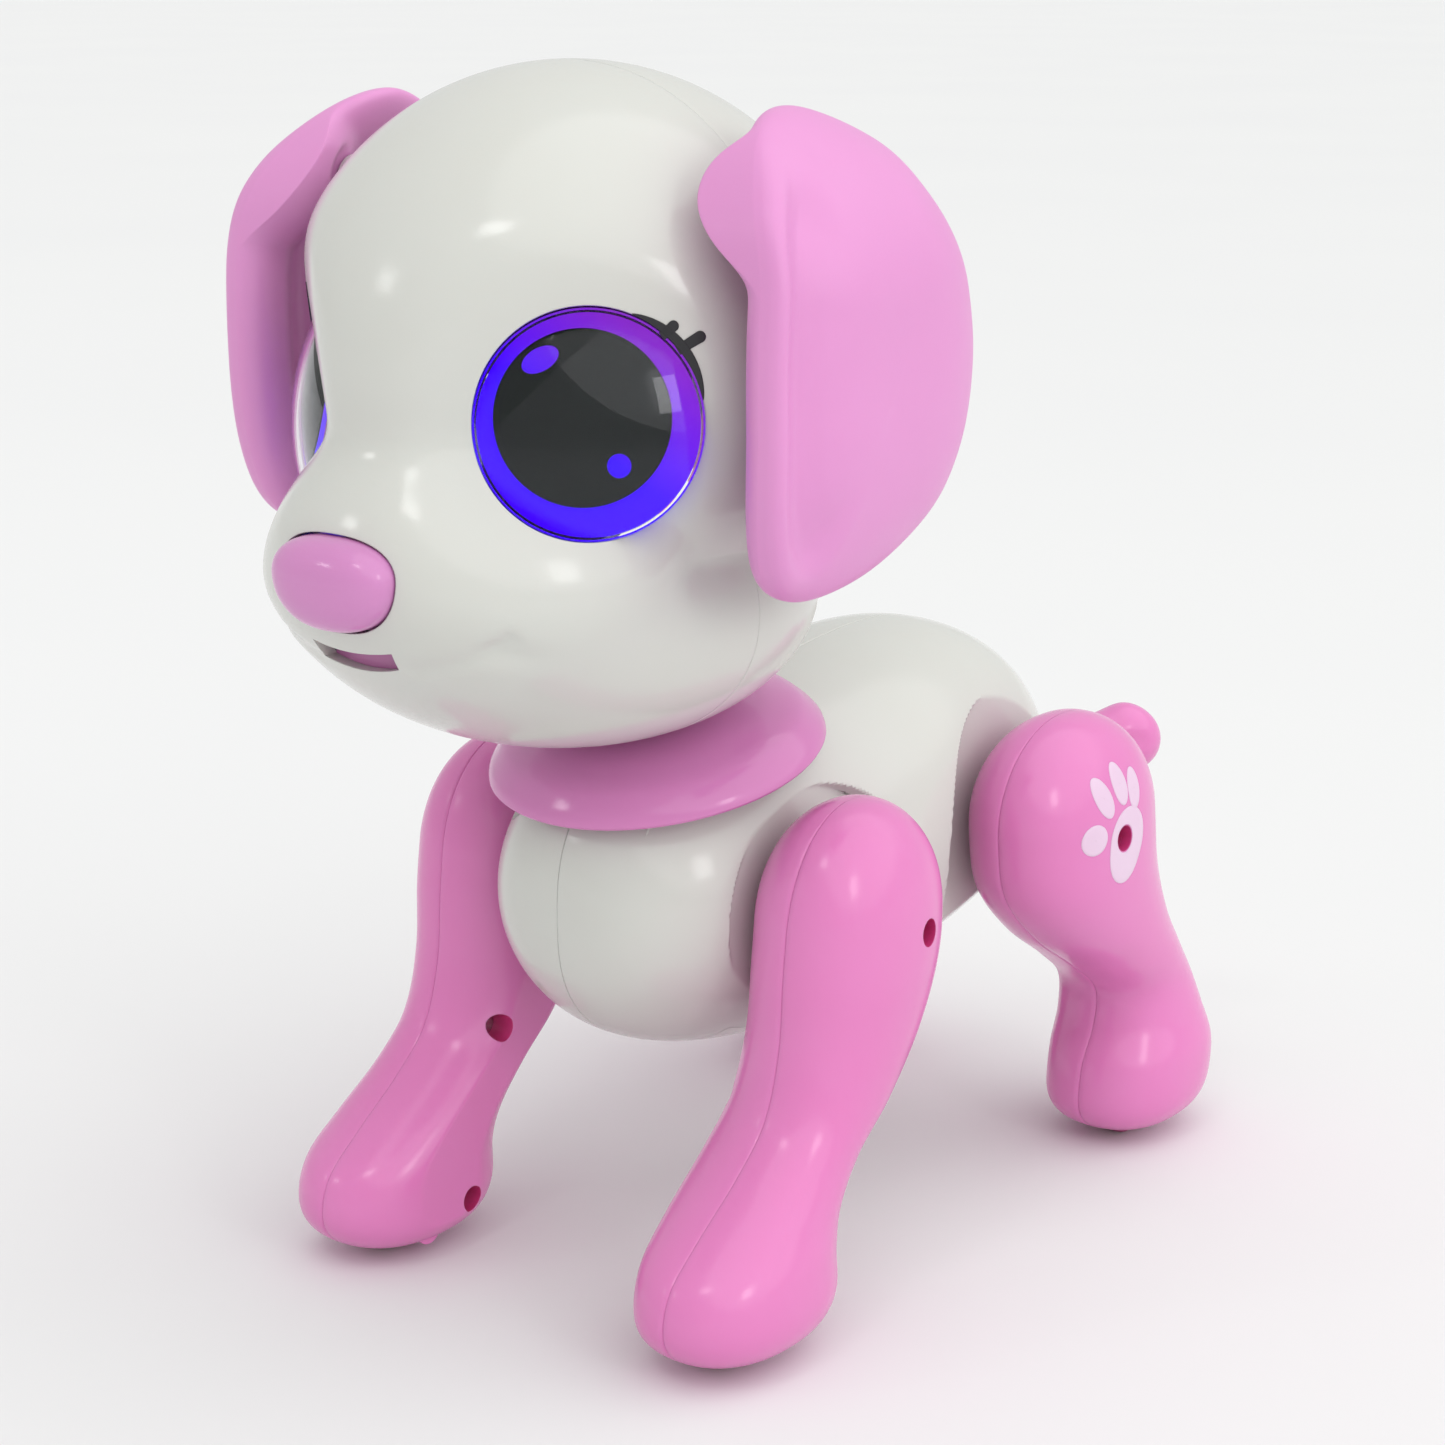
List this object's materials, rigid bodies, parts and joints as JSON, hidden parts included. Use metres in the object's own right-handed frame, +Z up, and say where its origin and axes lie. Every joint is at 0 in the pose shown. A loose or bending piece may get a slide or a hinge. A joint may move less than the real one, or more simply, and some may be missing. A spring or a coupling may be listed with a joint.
{
  "type": "robot dog toy",
  "caption": "White and pink robot puppy toy with a big round head, lit violet eyes, drooping ears and geared swinging legs that roll on small wheels in its paws.",
  "frame": {"origin": "on the floor, under the middle of the whole outline", "axes": "+Z up, -Y is the way the nose points, +Y towards the tail, +X the puppy's left"},
  "size_m": [0.1184, 0.2072, 0.2032],
  "materials": {
    "black_plastic": "satin",
    "cell_label": "printed sleeve",
    "circuit_board": "lacquered",
    "clear_lens": "clear polished",
    "cream_plastic": "natural moulded",
    "deep_pink_roller": "satin",
    "lilac_trim": "glossy moulded",
    "pink_ear": "satin soft",
    "pink_shell": "glossy moulded",
    "steel": "plated",
    "violet_iris": "lit print",
    "white_shell": "glossy moulded"
  },
  "bodies": {
    "torso": {"body_shell_left": "white_shell", "body_shell_right": "white_shell", "battery_door": "white_shell", "body_screws": "steel", "battery_cells": "cell_label", "battery_tray": "cream_plastic", "battery_contacts": "steel", "speaker": "black_plastic", "main_board": "circuit_board", "drive_motor": "steel", "gear_plate_left": "cream_plastic", "gear_plate_right": "cream_plastic", "gear_pins": "steel", "hip_bushes": "cream_plastic", "neck_collar": "lilac_trim", "neck_bearing": "cream_plastic", "tail_pin": "steel"},
    "switch": {"switch_knob": "black_plastic"},
    "pinion": {"motor_pinion": "cream_plastic"},
    "first_cluster": {"first_gear": "cream_plastic"},
    "second_cluster": {"second_gear": "cream_plastic"},
    "crank": {"crank_axle": "steel", "crank_gear": "cream_plastic", "crank_discs": "cream_plastic"},
    "tail": {"tail": "pink_shell"},
    "head": {"face_shell": "white_shell", "back_head_shell": "white_shell", "neck_post": "cream_plastic", "eye_lens_left": "clear_lens", "eye_lens_right": "clear_lens", "iris_left": "violet_iris", "iris_right": "violet_iris", "eye_lamps": "black_plastic", "mouth_insert": "lilac_trim", "nose_contact": "circuit_board", "ear_pins": "steel", "head_screws": "steel"},
    "nose": {"nose_button": "lilac_trim"},
    "ear_left": {"ear_left": "pink_ear"},
    "ear_right": {"ear_right": "pink_ear"},
    "front_left_leg": {"front_left_outer_shell": "pink_shell", "front_left_inner_shell": "pink_shell", "front_left_rocker": "cream_plastic", "front_left_screws": "steel"},
    "front_left_roller": {"front_left_roller": "deep_pink_roller"},
    "front_right_leg": {"front_right_outer_shell": "pink_shell", "front_right_inner_shell": "pink_shell", "front_right_rocker": "cream_plastic", "front_right_screws": "steel"},
    "front_right_roller": {"front_right_roller": "deep_pink_roller"},
    "rear_left_leg": {"rear_left_outer_shell": "pink_shell", "rear_left_inner_shell": "pink_shell", "rear_left_rocker": "cream_plastic", "rear_left_screws": "steel"},
    "rear_left_roller": {"rear_left_roller": "deep_pink_roller"},
    "rear_right_leg": {"rear_right_outer_shell": "pink_shell", "rear_right_inner_shell": "pink_shell", "rear_right_rocker": "cream_plastic", "rear_right_screws": "steel"},
    "rear_right_roller": {"rear_right_roller": "deep_pink_roller"}
  },
  "joints": [
    {"name": "front_left_leg_swing", "type": "hinge", "parent": "torso", "child": "front_left_leg", "pos_m": [0.03, -0.0145, 0.0645], "axis": [1, 0, 0], "range_deg": [-9.5, 9.5]},
    {"name": "front_right_leg_swing", "type": "hinge", "parent": "torso", "child": "front_right_leg", "pos_m": [-0.03, -0.0145, 0.0645], "axis": [1, 0, 0], "range_deg": [-9.5, 9.5]},
    {"name": "rear_left_leg_swing", "type": "hinge", "parent": "torso", "child": "rear_left_leg", "pos_m": [0.03, 0.0465, 0.066], "axis": [1, 0, 0], "range_deg": [-9.5, 9.5]},
    {"name": "rear_right_leg_swing", "type": "hinge", "parent": "torso", "child": "rear_right_leg", "pos_m": [-0.03, 0.0465, 0.066], "axis": [1, 0, 0], "range_deg": [-9.5, 9.5]},
    {"name": "front_left_roller_spin", "type": "hinge", "parent": "front_left_leg", "child": "front_left_roller", "pos_m": [0.037, -0.053, 0.0055], "axis": [1, 0, 0], "continuous": true},
    {"name": "front_right_roller_spin", "type": "hinge", "parent": "front_right_leg", "child": "front_right_roller", "pos_m": [-0.037, -0.053, 0.0055], "axis": [1, 0, 0], "continuous": true},
    {"name": "rear_left_roller_spin", "type": "hinge", "parent": "rear_left_leg", "child": "rear_left_roller", "pos_m": [0.037, 0.07, 0.0055], "axis": [1, 0, 0], "continuous": true},
    {"name": "rear_right_roller_spin", "type": "hinge", "parent": "rear_right_leg", "child": "rear_right_roller", "pos_m": [-0.037, 0.07, 0.0055], "axis": [1, 0, 0], "continuous": true},
    {"name": "crank_spin", "type": "hinge", "parent": "torso", "child": "crank", "pos_m": [0, 0.015, 0.066], "axis": [1, 0, 0], "continuous": true},
    {"name": "second_gear_spin", "type": "hinge", "parent": "torso", "child": "second_cluster", "pos_m": [0.0085, 0.01028, 0.07897], "axis": [1, 0, 0], "continuous": true},
    {"name": "first_gear_spin", "type": "hinge", "parent": "torso", "child": "first_cluster", "pos_m": [0.005, 0.02405, 0.07801], "axis": [1, 0, 0], "continuous": true},
    {"name": "pinion_spin", "type": "hinge", "parent": "torso", "child": "pinion", "pos_m": [0.0035, 0.03738, 0.08158], "axis": [1, 0, 0], "continuous": true},
    {"name": "head_turn", "type": "hinge", "parent": "torso", "child": "head", "pos_m": [0, -0.0255, 0.09], "axis": [0, 0, 1], "range_deg": [-30, 30]},
    {"name": "ear_left_swing", "type": "hinge", "parent": "head", "child": "ear_left", "pos_m": [0.044, -0.0495, 0.183], "axis": [1, 0, 0], "range_deg": [-20, 25]},
    {"name": "ear_right_swing", "type": "hinge", "parent": "head", "child": "ear_right", "pos_m": [-0.044, -0.0495, 0.183], "axis": [1, 0, 0], "range_deg": [-20, 25]},
    {"name": "nose_press", "type": "slide", "parent": "head", "child": "nose", "axis": [0, 1, 0], "range_m": [0, 0.0012], "stiffness_N_per_m": 300, "springref_m": -0.0008},
    {"name": "tail_wag", "type": "hinge", "parent": "torso", "child": "tail", "pos_m": [0, 0.07, 0.072], "axis": [0, 0, 1], "range_deg": [0, 75]},
    {"name": "power_switch_slide", "type": "slide", "parent": "torso", "child": "switch", "axis": [0, 1, 0], "range_m": [0, 0.0042]}
  ],
  "couplings": [
    {"joint": "front_right_leg_swing", "follows": "front_left_leg_swing", "ratio": -1},
    {"joint": "rear_left_leg_swing", "follows": "front_left_leg_swing", "ratio": -1},
    {"joint": "rear_right_leg_swing", "follows": "front_left_leg_swing", "ratio": 1},
    {"joint": "first_gear_spin", "follows": "pinion_spin", "ratio": -0.27778},
    {"joint": "second_gear_spin", "follows": "pinion_spin", "ratio": 0.07716},
    {"joint": "crank_spin", "follows": "pinion_spin", "ratio": -0.021433}
  ]
}
